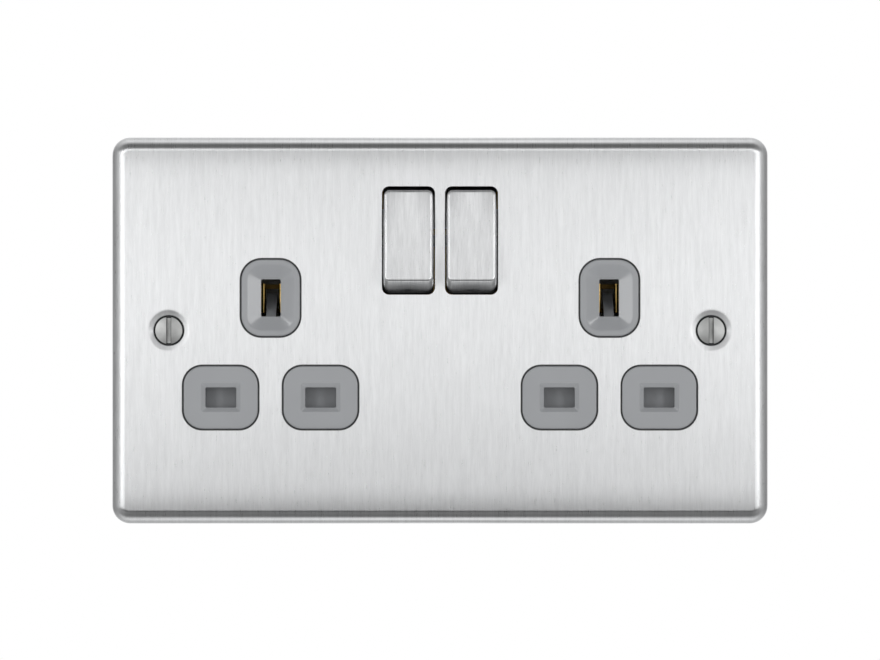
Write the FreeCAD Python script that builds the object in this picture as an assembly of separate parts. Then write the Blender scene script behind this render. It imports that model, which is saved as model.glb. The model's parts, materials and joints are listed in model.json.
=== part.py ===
import FreeCAD, Part
import math
import os
from FreeCAD import Vector

# Twin switched wall socket, two gang, for flat three-pin plugs.
# Millimetres. The front faces -Y, +X is to the right seen from the front, +Z is up.
# The origin is the centre of the plate on the wall plane, y = 0. The plate stands in front of
# the wall and the housing goes back into the wall box.
# The model is laid out outwards from the pins: the pin and rocker places come first, then the
# housing round them, the fixing screws beside the housing, and the plate over it all.

os.makedirs("parts", exist_ok=True)

# Pin layout of one outlet: earth on top, live and neutral below
outlet_x = 37.65
earth_z = 7.25
live_drop = 22.15
pin_pitch = 22.2
power_pin_t = 4.0
earth_pin_t = 4.0
earth_slot_w = 4.4
earth_slot_h = 8.3
power_slot_w = 6.9
power_slot_h = 4.5
slot_corner = 0.35
slot_depth = 4.4

# Rockers and their windows
rocker_z = 20.0
rocker_x = 7.0
window_w = 11.8
window_h = 24.1
window_r = 1.6
hinge_back = 4.0
tilt = 10.2

# Margins from one piece to the next, outwards
pin_side = 7.05
flange = 2.3
flange_top = 1.2
insert_over = 3.35
insert_under = 16.1
fixing_clear = 4.5
fixing_inset = 12.7
plate_over = 10.95

# Front plate, pressed from one sheet
plate_depth = 8.0
sheet = 1.0
plan_r = 4.0
roll_r = 3.0
earth_window_w = 13.8
earth_window_h = 17.8
earth_window_r = 4.9
power_window_w = 17.3
power_window_h = 14.7
power_window_r = 4.6

# Fixing screws and the pressed dimples they sit in
fixing_r = 1.75
fixing_len = 25.0
neck_r = 1.45
neck_len = 3.1
fix_head_r = 3.0
fix_dome = 0.5
fix_band = 0.3
fix_cone = 1.25
fix_point = 0.6
point_share = 0.7
seat_gap = 0.1
fix_slot_w = 1.15
fix_slot_d = 0.95
dimple_r = 4.6
dimple_drop = 0.9
dimple_floor = 0.35

# Insert moulding behind the plate
insert_t = 2.4
insert_r = 4.0
nose_gap = 0.3
nose_drop = 0.35
nose_round = 0.35
nose_wall = 1.5
lead_in = 0.95
lead_drop = 0.6
dish_rim = 1.1
dish_round = ((0.0, 0.0), (0.35, 0.05), (0.7, 0.18))
dish_drop = 1.2
rocker_room = 0.4
spigot_len = 1.4
spigot_t = 1.2
rail_w = 1.4
rail_h = 8.6
rail_top = 6.4
ledge_w = 6.4
ledge_t = 1.6
ledge_out = 2.2
bearing_t = 2.2
bearing_foot = 6.0
bearing_tip = 3.2
bearing_wall = 1.2
snap_mouth = 2.0

# Rocker caps and rockers
cap_w = 11.0
cap_t = 0.4
cap_gap = 0.15
cap_reach = 6.2
cap_side = 1.6
cap_corner = 1.25
cap_round = 0.7
skirt_gap = 0.05
skirt_back = 3.0
skirt_wall = 0.8
skirt_end = 1.9
skirt_floor = 0.6
web_half = 9.0
hub_half = 3.4
hub_back = 1.8
pocket_z = 7.6
pocket_h = 4.6
pocket_wall = 1.2
trunnion_r = 1.3
trunnion_len = 1.45
run_gap = 0.05

# Spring plunger in the rocker's stem
stem_len = 5.6
stem_w = 4.6
plunger_r = 1.5
plunger_tip = 8.1
plunger_len = 4.6
bore_len = 7.0
plunger_wire = 0.16
plunger_turns = 5
spring_play = 0.15

# Seesaw contacts
seesaw_w = 5.0
seesaw_t = 0.8
seesaw_half = 11.0
seesaw_ratio = 0.6
valley_half = 2.6
valley_r = 8.3
tip_r = 1.6
tip_t = 0.6
tip_round = 0.25
tip_z = 9.5
contact_gap = 0.1
post_half = 1.6
post_neck = 1.0
post_nose = 0.25
post_gap = 0.06
nose_len = 1.2

# Pin clips and bars
strip_t = 0.8
strip_w = 4.0
leaf_t = 0.6
leaf_w = 6.0
earth_clip_w = 6.5
clip_grip = 0.9
clip_mouth = 2.0
clip_clear = 2.9
clip_waist = 2.2
clip_bend = 2.0
live_step = 3.2
neutral_step = 2.2
earth_step = 1.8
link_x = 7.0
step_x = 5.0
neutral_up = 9.0
supply_w = 6.0
earth_link = 3.0
pad_rim = 1.0

# Shutters
shutter_t = 1.6
shutter_gap = 0.15
shutter_bar_h = 5.8
shutter_reach = 3.9
shutter_stroke = 5.2
shutter_bevel = 0.6
stem_shutter_w = 7.0
guide_gap = 0.2
ramp_w = 2.2
ramp_inset = 1.9
ramp_end = 1.0
ramp_tip = 0.6
ramp_root = 2.0
ramp_neck = 3.4
spring_r = 1.55
spring_wire = 0.15
spring_room = 9.0
spring_turns = 6
spring_wall = 0.3
block_h = 3.0
peg_r = 0.9
peg_len = 2.0

# Rear housing
housing_back = 19.0
wall = 1.6
corner_r = 3.0
back_r = 1.2
rib = 3.0
cell_wall = 1.2
fit_gap = 0.1
divider_clear = 5.0
divider_drop = 6.0
post_x = 5.6
post_w = 2.0
post_over = 1.5
stop_w = 4.0
stop_h = 2.0
panel_w = 25.0
panel_h = 19.0
panel_z = -3.0
panel_drop = 0.5
panel_r = 2.0
mark_r = 2.0
mark_drop = 0.2
mark_x = 18.0
mark_z = 29.0

# Terminals
terminal_w = 9.0
terminal_h = 9.0
terminal_d = 9.2
terminal_gap = 0.2
terminal_bevel = 0.5
terminal_pocket = 0.8
wire_in = 3.2
wire_r = 2.25
wire_depth = 7.4
entry_r = 2.9
terminal_pitch = 14.0
clamp_r = 1.7
clamp_len = 5.3
clamp_head_r = 2.6
clamp_head_t = 1.6
clamp_slot = 0.9
clamp_round = 0.3
clamp_room = 0.5
clamp_clear = 0.15

# Assembly screws and the pillars under the plate
upper_pillar_x = 28.0
lower_pillar_out = 5.85
lower_pillar_up = 5.0
assembly_r = 1.45
assembly_len = 7.0
assembly_head_r = 2.7
assembly_head_t = 1.8
assembly_round = 0.5
cross_w = 3.6
cross_t = 0.8
cross_d = 1.1
pillar_r = 2.75
pillar_bore_r = 1.5
pillar_bore_len = 8.0
eyelet_r = 3.7
eyelet_gap = 0.2
well_r = 3.1
well_wall = 1.4
screw_room_r = 1.8

# A cutter reaches this far past the face it opens, and joined pieces bite this deep
past = 1.0
bite = 0.5
tiny = 1e-4

# Sizes that follow from the layout, from the pins outwards
live_z = earth_z - live_drop
slot_low = earth_z - earth_slot_h / 2
insert_top = rocker_z + window_h / 2 + insert_over
insert_foot = live_z - insert_under
housing_w = 2 * (outlet_x + pin_pitch / 2 + pin_side)
housing_top = insert_top - flange_top
housing_foot = insert_foot
insert_w = housing_w + 2 * flange
fixing_pitch = housing_w + 2 * fixing_clear
plate_w = fixing_pitch + 2 * fixing_inset
plate_h = 2 * (rocker_z + window_h / 2 + plate_over)
cap_r = window_h / 2 - cap_gap

# Levels along Y that several pieces share
plate_front = -plate_depth
plate_back = plate_front + sheet
insert_back = plate_back + insert_t
nose_front = plate_front + nose_drop
slot_back = nose_front + slot_depth
ramp_front = nose_front + ramp_inset
shutter_front = slot_back + shutter_gap
shutter_back = shutter_front + shutter_t
hinge_y = plate_front + hinge_back
cavity_back = housing_back - wall
earth_plane = cavity_back - earth_step
neutral_plane = earth_plane - neutral_step
live_plane = neutral_plane - live_step
clip_front = shutter_back + clip_clear
divider_front = shutter_back + divider_clear
pillar_end = earth_plane - run_gap
eyelet_back = earth_plane + strip_t
fulcrum_y = hinge_y + valley_r + seesaw_t
arm_y = hinge_y + math.sqrt(valley_r ** 2 - valley_half ** 2)

# Terminals stand in a row just above the housing's foot
terminal_foot = housing_foot + wall + terminal_gap
terminal_top = terminal_foot + terminal_h
terminal_back = cavity_back - terminal_gap
terminal_front = terminal_back - terminal_d
wire_y = terminal_front + wire_in
clamp_z = terminal_foot + wire_depth / 2
live_terminal_x = 0.0
neutral_terminal_x = terminal_pitch
earth_terminal_x = (-terminal_pitch, -2 * terminal_pitch)
neutral_run_z = live_z + neutral_up

sides = (-1, 1)
back = Vector(0, 1, 0)
right = Vector(1, 0, 0)
up = Vector(0, 0, 1)
upper_pillars = [(s * upper_pillar_x, rocker_z) for s in sides]
lower_pillars = [(s * (outlet_x + lower_pillar_out), housing_foot + lower_pillar_up) for s in sides]
pillar_places = upper_pillars + lower_pillars


def power_places(side):
    """The two flat pins under one earth pin: (x, z) of each, left one first."""
    return [(side * outlet_x + hand * pin_pitch / 2, live_z) for hand in sides]


# Seen from the front, neutral is the left pin of each outlet and live is the right
neutral_x = {side: power_places(side)[0][0] for side in sides}
live_x = {side: power_places(side)[1][0] for side in sides}


def box(x0, x1, y0, y1, z0, z1):
    """A block between two corners, given in any order."""
    (x0, x1), (y0, y1), (z0, z1) = sorted((x0, x1)), sorted((y0, y1)), sorted((z0, z1))
    return Part.makeBox(x1 - x0, y1 - y0, z1 - z0, Vector(x0, y0, z0))


def centred(x, z, w, h, y0, y1):
    """A block centred on x and z that runs from y0 to y1."""
    return box(x - w / 2, x + w / 2, y0, y1, z - h / 2, z + h / 2)


def rod(x, y, z, r, length, axis=back):
    """A round bar from a point along an axis."""
    return Part.makeCylinder(r, length, Vector(x, y, z), axis)


def cone(x, y, z, r0, r1, length):
    """A round taper that runs backwards from a point."""
    return Part.makeCone(r0, r1, length, Vector(x, y, z), back)


def rounded_wire(x, z, w, h, r, y):
    """A rectangle with rounded corners, flat at height y."""
    a, b = w / 2, h / 2
    inset = r * (1 - math.sqrt(0.5))
    corners = []
    for sx, sz in ((1, 1), (-1, 1), (-1, -1), (1, -1)):
        first = Vector(x + sx * a, y, z + sz * (b - r))
        middle = Vector(x + sx * (a - inset), y, z + sz * (b - inset))
        last = Vector(x + sx * (a - r), y, z + sz * b)
        corners.append((first, middle, last) if sx == sz else (last, middle, first))
    edges = []
    for corner, following in zip(corners, corners[1:] + corners[:1]):
        edges.append(Part.Arc(*corner).toShape())
        edges.append(Part.makeLine(corner[2], following[0]))
    return Part.Wire(edges)


def rounded(x, z, w, h, r, y0, y1):
    """A rounded rectangle that runs from y0 to y1."""
    face = Part.Face(rounded_wire(x, z, w, h, r, y0))
    return face.extrude(Vector(0, y1 - y0, 0))


def profile_yz(points, x0, x1):
    """A closed outline of (y, z) points, extruded from x0 to x1."""
    corners = [Vector(x0, y, z) for y, z in points]
    return Part.Face(Part.makePolygon(corners + corners[:1])).extrude(Vector(x1 - x0, 0, 0))


def join(shapes):
    """One solid from several that touch."""
    whole = shapes[0].fuse(shapes[1:]) if len(shapes) > 1 else shapes[0]
    return whole.removeSplitter()


def edges_at(shape, y):
    """The edges that lie wholly at one level of y."""
    return [e for e in shape.Edges
            if abs(e.BoundBox.YMin - y) < tiny and abs(e.BoundBox.YMax - y) < tiny]


def write(name, shape):
    """Writes one sub-part and prints its size."""
    shape.exportStep("parts/" + name + ".step")
    b = shape.BoundBox
    print(f"{name}: {len(shape.Solids)} solid, {shape.Volume:.1f} mm3, valid {shape.isValid()},"
          f" x {b.XMin:.1f} {b.XMax:.1f} y {b.YMin:.1f} {b.YMax:.1f} z {b.ZMin:.1f} {b.ZMax:.1f}")


def front_plate():
    """The pressed sheet: a shallow tray with rolled edges, windows and two dimpled holes."""
    outer = rounded(0, 0, plate_w, plate_h, plan_r, plate_front, 0)
    outer = outer.makeFillet(roll_r, edges_at(outer, plate_front))
    inner_w, inner_h = plate_w - 2 * sheet, plate_h - 2 * sheet
    inner = rounded(0, 0, inner_w, inner_h, plan_r - sheet, plate_back, past)
    inner = inner.makeFillet(roll_r - sheet, edges_at(inner, plate_back))
    plate = outer.cut(inner)
    through = (plate_front - past, plate_back + past)
    cutters = [rounded(s * rocker_x, rocker_z, window_w, window_h, window_r, *through) for s in sides]
    for s in sides:
        cutters.append(rounded(s * outlet_x, earth_z, earth_window_w, earth_window_h, earth_window_r,
                               *through))
        for x, z in power_places(s):
            cutters.append(rounded(x, z, power_window_w, power_window_h, power_window_r, *through))
    plate = plate.cut(cutters)
    for s in sides:
        plate = dimple(plate, s * fixing_pitch / 2)
    return plate


def dimple(plate, x):
    """Presses the sheet back round a fixing hole, so that the screw's head sits level."""
    floor_r = fix_head_r + dimple_floor
    base_r = dimple_r + sheet * 0.6
    base = cone(x, plate_back, 0, base_r, floor_r + sheet * 0.8, dimple_drop)
    plug = rod(x, plate_back - sheet / 2, 0, dimple_r, sheet / 2)
    plate = plate.fuse([base, plug])
    plate = plate.cut(cone(x, plate_front, 0, dimple_r, floor_r, dimple_drop))
    rim = [e for e in edges_at(plate, plate_front)
           if abs(e.BoundBox.Center.x - x) < sheet / 10 and e.Length > 6 * dimple_r]
    plate = plate.makeFillet(dimple_drop, rim)
    slope = (fix_head_r - neck_r) / fix_cone
    seat_r = fix_head_r + seat_gap
    hole_r = seat_r - slope * sheet
    seat = cone(x, plate_front + dimple_drop, 0, seat_r, hole_r, sheet)
    return plate.cut([seat, rod(x, plate_front, 0, hole_r, plate_depth)])


def fixing_screw(x):
    """Slotted raised countersunk screw for the wall box."""
    cone_y = plate_front + dimple_drop - seat_gap / 2
    rim = cone_y - fix_band
    top = rim - fix_dome
    sphere_r = (fix_head_r ** 2 + fix_dome ** 2) / (2 * fix_dome)
    dome = Part.makeSphere(sphere_r, Vector(x, top + sphere_r, 0))
    dome = dome.common(rod(x, top, 0, fix_head_r, fix_dome + fix_band))
    taper = cone(x, cone_y, 0, fix_head_r, neck_r, fix_cone)
    neck = rod(x, cone_y, 0, neck_r, neck_len)
    thread_y = cone_y + neck_len
    thread_len = fixing_len - neck_len - fix_point
    shank = rod(x, thread_y, 0, fixing_r, thread_len)
    point = cone(x, thread_y + thread_len, 0, fixing_r, fixing_r * point_share, fix_point)
    slot = centred(x, 0, fix_slot_w, 3 * fix_head_r, top - past, top + fix_slot_d)
    return join([dome, taper, neck, shank, point]).cut(slot)


def nose(x, z, w, h, r, slot_w, slot_h):
    """One nose that stands in a window of the plate, with its boss behind."""
    body = rounded(x, z, w - 2 * nose_gap, h - 2 * nose_gap, r - nose_gap, nose_front, insert_back)
    body = body.makeFillet(nose_round, edges_at(body, nose_front))
    boss = centred(x, z, slot_w + 2 * nose_wall, slot_h + 2 * nose_wall, insert_back - bite, slot_back)
    return join([body, boss])


def lead_in_funnel(x, z):
    """The bevel round a power slot."""
    wide = rounded_wire(x, z, power_slot_w + 2 * lead_in, power_slot_h + 2 * lead_in, slot_corner,
                        nose_front)
    slot = rounded_wire(x, z, power_slot_w, power_slot_h, slot_corner, nose_front + lead_drop)
    return Part.makeLoft([wide, slot], True, True)


def earth_dish(x):
    """The four shallow facets that lead into an earth slot, with a rounded rim."""
    w = earth_window_w - 2 * (nose_gap + dish_rim)
    h = earth_window_h - 2 * (nose_gap + dish_rim)
    r = earth_window_r - nose_gap - dish_rim
    rings = [rounded_wire(x, earth_z, w - 2 * inset, h - 2 * inset, r - inset, nose_front + drop)
             for inset, drop in dish_round]
    rings.append(rounded_wire(x, earth_z, earth_slot_w, earth_slot_h, slot_corner,
                              nose_front + dish_drop))
    return Part.makeLoft(rings, True, True)


def spigot():
    """A rim behind the insert that locates the housing."""
    mid_z = (housing_top + housing_foot) / 2
    w = housing_w - 2 * (wall + fit_gap)
    h = housing_top - housing_foot - 2 * (wall + fit_gap)
    levels = (insert_back - bite, insert_back + spigot_len)
    outer = rounded(0, mid_z, w, h, corner_r - wall, *levels)
    inner_r = (corner_r - wall) / 2
    inner = rounded(0, mid_z, w - 2 * spigot_t, h - 2 * spigot_t, inner_r, *levels)
    room = rocker_x + window_w / 2 + bearing_t
    return outer.cut([inner, centred(0, rocker_z, 2 * room, window_h + 4 * rocker_room, *levels)])


def shutter_guides(x):
    """Rails each side of a shutter's stem and the ledge under its spring."""
    solids = []
    rail_x = stem_shutter_w / 2 + guide_gap
    rail_z = earth_z - rail_top
    for hand in sides:
        solids.append(box(x + hand * rail_x, x + hand * (rail_x + rail_w), insert_back - bite, shutter_back,
                          rail_z - rail_h, rail_z))
    ledge_z = live_z - shutter_bar_h / 2 - spring_room
    solids.append(box(x - ledge_w / 2, x + ledge_w / 2, insert_back - bite, shutter_back + ledge_out,
                      ledge_z - ledge_t, ledge_z))
    return solids


def insert_moulding():
    """Grey moulding: noses in front, rocker bearings and shutter guides behind."""
    mid_z = (insert_top + insert_foot) / 2
    through = (plate_back - past, insert_back + spigot_len + past)
    solids = [rounded(0, mid_z, insert_w, insert_top - insert_foot, insert_r, plate_back, insert_back),
              spigot()]
    cutters = []
    for s in sides:
        x = s * outlet_x
        solids.append(nose(x, earth_z, earth_window_w, earth_window_h, earth_window_r,
                           earth_slot_w, earth_slot_h))
        cutters.append(rounded(x, earth_z, earth_slot_w, earth_slot_h, slot_corner,
                               nose_front - past, slot_back + past))
        cutters.append(earth_dish(x))
        # A channel lets the shutter's ramp start close behind the face of the nose
        channel = ramp_w / 2 + guide_gap
        channel_foot = slot_low - shutter_stroke - ramp_root - guide_gap
        cutters.append(box(x - channel, x + channel, ramp_front - shutter_gap, slot_back + past,
                           channel_foot, earth_z))
        for px, pz in power_places(s):
            solids.append(nose(px, pz, power_window_w, power_window_h, power_window_r,
                               power_slot_w, power_slot_h))
            cutters.append(rounded(px, pz, power_slot_w, power_slot_h, slot_corner,
                                   nose_front - past, slot_back + past))
            cutters.append(lead_in_funnel(px, pz))
        solids += shutter_guides(x)
        cutters.append(rounded(s * rocker_x, rocker_z, window_w, window_h + 2 * rocker_room,
                               window_r - rocker_room, plate_back - past, insert_back + past))
        cutters.append(rod(s * fixing_pitch / 2, plate_back - past, 0, dimple_r + sheet + 2 * fit_gap,
                           insert_t + 2 * past))
    solids += rocker_bearings()
    half = rocker_x + window_w / 2 + bearing_t
    cutters.append(rod(-half, hinge_y, rocker_z, trunnion_r + run_gap, 2 * half, right))
    cutters.append(box(-half, half, hinge_y, hinge_y + hinge_back,
                       rocker_z - snap_mouth / 2, rocker_z + snap_mouth / 2))
    for px, pz in pillar_places:
        cutters.append(rod(px, through[0], pz, pillar_r + fit_gap, through[1] - through[0]))
    return join(solids).cut(cutters)


def rocker_bearings():
    """Three walls with snap-in bearings for the rockers' trunnions."""
    half = rocker_x + window_w / 2
    inner = rocker_x - window_w / 2
    walls = [(-inner, inner), (half, half + bearing_t), (-half - bearing_t, -half)]
    front = insert_back - bite
    tip = hinge_y + trunnion_r + bearing_wall
    outline = [(front, rocker_z - bearing_foot), (front, rocker_z + bearing_foot),
               (tip, rocker_z + bearing_tip), (tip, rocker_z - bearing_tip)]
    return [profile_yz(outline, x0, x1) for x0, x1 in walls]


def rocker_block(x, width, reach, radius, behind, corner):
    """A slice of a rocker at mid travel, between two levels in front of the hinge, or behind it below 0."""
    levels = (reach, (reach + behind) / 2, behind)
    heights = [math.sqrt(radius ** 2 - level ** 2) for level in levels]
    ends = []
    for s in sides:
        points = [Vector(0, hinge_y - level, rocker_z + s * h) for level, h in zip(levels, heights)]
        ends.append(points)
    edges = [Part.Arc(*points).toShape() for points in ends]
    edges.append(Part.makeLine(ends[0][0], ends[1][0]))
    edges.append(Part.makeLine(ends[0][2], ends[1][2]))
    face = Part.Face(Part.Wire(Part.__sortEdges__(edges)))
    block = face.extrude(Vector(width, 0, 0))
    block.translate(Vector(x - width / 2, 0, 0))
    turned = [e for e in block.Edges if e.BoundBox.XLength < tiny and e.BoundBox.YLength > tiny]
    return block.makeFillet(corner, turned)


def rest_tilt(shape, degrees, y, z):
    """Turns a mid-travel piece to its rest position."""
    turned = shape.copy()
    turned.rotate(Vector(0, y, z), right, degrees)
    return turned


def at_rest(shape):
    """A rocker's piece with its foot standing out: switched off."""
    return rest_tilt(shape, -tilt, hinge_y, rocker_z)


def rocker_cap(x):
    """Steel cap, deep drawn, with rounded edges."""
    outer = rocker_block(x, cap_w, cap_reach, cap_r, cap_side, cap_corner)
    outer = outer.makeFillet(cap_round, edges_at(outer, hinge_y - cap_reach))
    inner = rocker_block(x, cap_w - 2 * cap_t, cap_reach - cap_t, cap_r - cap_t, cap_side - past,
                         cap_corner - cap_t)
    return at_rest(outer.cut(inner))


def rocker(x):
    """Plastic rocker body: a core inside the cap, a skirt behind it, trunnions and a hollow stem."""
    w = cap_w - 2 * cap_t
    core = rocker_block(x, w, cap_reach - cap_t, cap_r - cap_t, cap_side, cap_corner - cap_t)
    skirt_r = cap_r - skirt_gap
    skirt = rocker_block(x, cap_w, cap_side, skirt_r, -skirt_back, cap_corner - skirt_gap)
    inside = centred(x, rocker_z, cap_w - 2 * skirt_wall, 2 * (skirt_r - skirt_end),
                     hinge_y - cap_side + skirt_floor, hinge_y + skirt_back + past)
    hub_y = hinge_y + hub_back
    web_y = hinge_y - cap_side
    web_x = cap_w / 2 - skirt_wall
    web = profile_yz([(web_y, rocker_z + web_half), (web_y, rocker_z - web_half),
                      (hub_y, rocker_z - hub_half), (hub_y, rocker_z + hub_half)], x - web_x, x + web_x)
    stem = centred(x, rocker_z, stem_w, stem_w, hub_y - bite, hinge_y + stem_len)
    reach = w / 2 + trunnion_len
    axle = rod(x - reach, hinge_y, rocker_z, trunnion_r, 2 * reach, right)
    solid = join([core, skirt.cut(inside), web, stem, axle])
    # Two pockets each side of the hub keep the walls even
    pockets = [centred(x, rocker_z + s * pocket_z, w - 2 * pocket_wall, pocket_h,
                       hinge_y - cap_reach + cap_t + pocket_wall, hub_y + past) for s in sides]
    bore = rod(x, hinge_y + stem_len - bore_len, rocker_z, plunger_r + run_gap, bore_len + past)
    return at_rest(solid.cut(pockets + [bore]))


def plunger(x):
    """Round-nosed plunger that slides in the stem."""
    tip = hinge_y + plunger_tip
    body = rod(x, tip - plunger_len, rocker_z, plunger_r, plunger_len - plunger_r)
    ball = Part.makeSphere(plunger_r, Vector(x, tip - plunger_r, rocker_z))
    return at_rest(join([body, ball]))


def spring(place, axis, length, r, wire, turns):
    """A compression spring as a run of short straight facets, with flat end turns."""
    per_turn = 12
    section = 6
    steps = per_turn * turns
    rings = []
    for i in range(steps + 1):
        a = 2 * math.pi * i / per_turn
        share = min(max((i - per_turn / 2) / (steps - per_turn), 0), 1)
        lift = wire + (length - 2 * wire) * share
        ring = []
        for j in range(section):
            b = 2 * math.pi * (j + 0.5) / section
            rr = r + wire * math.cos(b)
            ring.append(Vector(rr * math.cos(a), rr * math.sin(a), lift + wire * math.sin(b)))
        rings.append(Part.makePolygon(ring + ring[:1]))
    coil = Part.makeLoft(rings, True, True)
    coil.Placement = FreeCAD.Placement(place, FreeCAD.Rotation(up, axis))
    return coil


def rocker_spring(x):
    """Spring between the bottom of the stem's bore and the plunger."""
    start = Vector(x, hinge_y + stem_len - bore_len, rocker_z)
    length = plunger_tip - plunger_len - stem_len + bore_len
    coil_r = plunger_r - plunger_wire - spring_play
    return at_rest(spring(start, back, length, coil_r, plunger_wire, plunger_turns))


def seesaw_tilted(shape):
    """Seesaw pieces at rest: turned the other way from the rocker."""
    return rest_tilt(shape, tilt * seesaw_ratio, fulcrum_y, rocker_z)


def moving_contact(x):
    """Brass seesaw with a valley for the plunger and a silver tip on its upper arm."""
    rear_arm = arm_y + seesaw_t
    rear_half = math.sqrt((valley_r + seesaw_t) ** 2 - (rear_arm - hinge_y) ** 2)
    edges = []
    faces = ((arm_y, valley_half, hinge_y + valley_r), (rear_arm, rear_half, fulcrum_y))
    for level, half, lowest in faces:
        start, end = Vector(0, level, rocker_z - half), Vector(0, level, rocker_z + half)
        edges.append(Part.Arc(start, Vector(0, lowest, rocker_z), end).toShape())
        edges.append(Part.makeLine(start, Vector(0, level, rocker_z - seesaw_half)))
        edges.append(Part.makeLine(end, Vector(0, level, rocker_z + seesaw_half)))
    for s in sides:
        z = rocker_z + s * seesaw_half
        edges.append(Part.makeLine(Vector(0, arm_y, z), Vector(0, rear_arm, z)))
    strip = Part.Face(Part.Wire(Part.__sortEdges__(edges))).extrude(Vector(seesaw_w, 0, 0))
    strip.translate(Vector(x - seesaw_w / 2, 0, 0))
    return seesaw_tilted(strip)


def moving_tip(x):
    """Silver button riveted to the seesaw."""
    return seesaw_tilted(button(x, arm_y + seesaw_t, rocker_z + tip_z, 1))


def button(x, y, z, way):
    """A silver contact button standing on a face at y, towards way along Y."""
    disc = rod(x, y, z, tip_r, tip_t, Vector(0, way, 0))
    return disc.makeFillet(tip_round, edges_at(disc, y + way * tip_t))


def fixed_tip_face():
    """Y of the fixed tip's face: just behind the moving tip when the switch is on."""
    a = math.radians(tilt * seesaw_ratio)
    reach = arm_y + seesaw_t + tip_t - fulcrum_y
    return fulcrum_y + reach * math.cos(a) + (tip_z + tip_r) * math.sin(a) + contact_gap


def seesaw_stop_y(z):
    """Y just behind the lower arm of a seesaw at rest, at one height."""
    a = math.radians(tilt * seesaw_ratio)
    reach = arm_y + seesaw_t - fulcrum_y
    return fulcrum_y + reach * math.cos(a) + (rocker_z - z) * math.tan(a) + contact_gap


def pin_grip(pin_t):
    """Half the gap between two leaves where they grip a pin, a little less than the pin."""
    return (pin_t - clip_grip) / 2


def leaf_pair(x, z, plane, grip, width, upright):
    """Two sprung leaves that stand forward from a bar and grip a pin, with a flared mouth."""
    root = grip + clip_mouth / 2
    inner = [(plane + strip_t / 4, root), (plane - clip_bend, root),
             (clip_front + clip_waist, grip), (clip_front, grip + clip_mouth * 0.6)]
    outer = [(y, v + leaf_t) for y, v in reversed(inner)]
    leaves = []
    for s in sides:
        leaf = profile_yz([(y, s * v) for y, v in inner + outer], -width / 2, width / 2)
        if upright:
            leaf.rotate(Vector(0, 0, 0), back, 90)
        leaf.translate(Vector(x, 0, z))
        leaves.append(leaf)
    return leaves


def bar(x0, x1, z0, z1, plane):
    """A flat stretch of strip in a plane."""
    return box(x0, x1, plane, plane + strip_t, z0, z1)


def power_clip(x, plane):
    """Clip for a flat pin: a pad behind it and two leaves over and under it."""
    grip = pin_grip(power_pin_t)
    pad = centred(x, live_z, leaf_w, 2 * (grip + clip_mouth / 2 + leaf_t), plane, plane + strip_t)
    return [pad] + leaf_pair(x, live_z, plane, grip, leaf_w, False)


def live_down_x(side):
    """Where the strip of one live outlet contact runs down to its clip."""
    return live_x[side] if side > 0 else live_x[side] + link_x


def live_outlet_contact(side):
    """Strip from the fixed tip of one switch to that outlet's live clip."""
    x_tip = side * rocker_x
    z_run = rocker_z + tip_z
    half = strip_w / 2
    low, high = z_run - half, z_run + half
    x_down = live_down_x(side)
    x_step = x_tip + side * step_x
    x_in = x_step - side * strip_t
    tip_back = fixed_tip_face() + tip_t
    shapes = [box(x_tip - side * half, x_step, tip_back, tip_back + strip_t, low, high),
              box(x_in, x_step, tip_back, live_plane + strip_t, low, high),
              bar(x_in, x_down + side * half, low, high, live_plane),
              bar(x_down - half, x_down + half, live_z - half, high, live_plane),
              bar(x_down + half, live_x[side] - half, live_z - half, live_z + half, live_plane)]
    return join(shapes + power_clip(live_x[side], live_plane))


def fixed_tip(side):
    """Silver button on the live outlet contact, facing the moving one."""
    return button(side * rocker_x, fixed_tip_face() + tip_t, rocker_z + tip_z, -1)


def live_supply_bar():
    """Strip from the live terminal up to both fulcrum posts."""
    half = supply_w / 2
    reach = rocker_x + seesaw_w / 2
    shapes = [bar(-half, half, terminal_top, rocker_z + half, live_plane),
              bar(-reach, reach, rocker_z - half, rocker_z + half, live_plane)]
    # Each seesaw rocks on the rounded nose of its post
    levels = ((live_plane + strip_t / 4, post_half), (fulcrum_y + nose_len, post_neck),
              (fulcrum_y + post_gap, post_nose))
    outline = [(y, rocker_z - h) for y, h in levels] + [(y, rocker_z + h) for y, h in reversed(levels)]
    for s in sides:
        x = s * rocker_x
        shapes.append(profile_yz(outline, x - seesaw_w / 2, x + seesaw_w / 2))
    return join(shapes)


def neutral_bar():
    """Strip that links both neutral clips to the neutral terminal."""
    half = strip_w / 2
    run = (neutral_run_z - half, neutral_run_z + half)
    shapes = [bar(neutral_x[-1] - half, neutral_x[1] + half, *run, neutral_plane),
              bar(neutral_terminal_x - half, neutral_terminal_x + half, terminal_top, neutral_run_z,
                  neutral_plane)]
    for x in neutral_x.values():
        shapes.append(bar(x - half, x + half, live_z, neutral_run_z, neutral_plane))
        shapes += power_clip(x, neutral_plane)
    return join(shapes)


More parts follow.
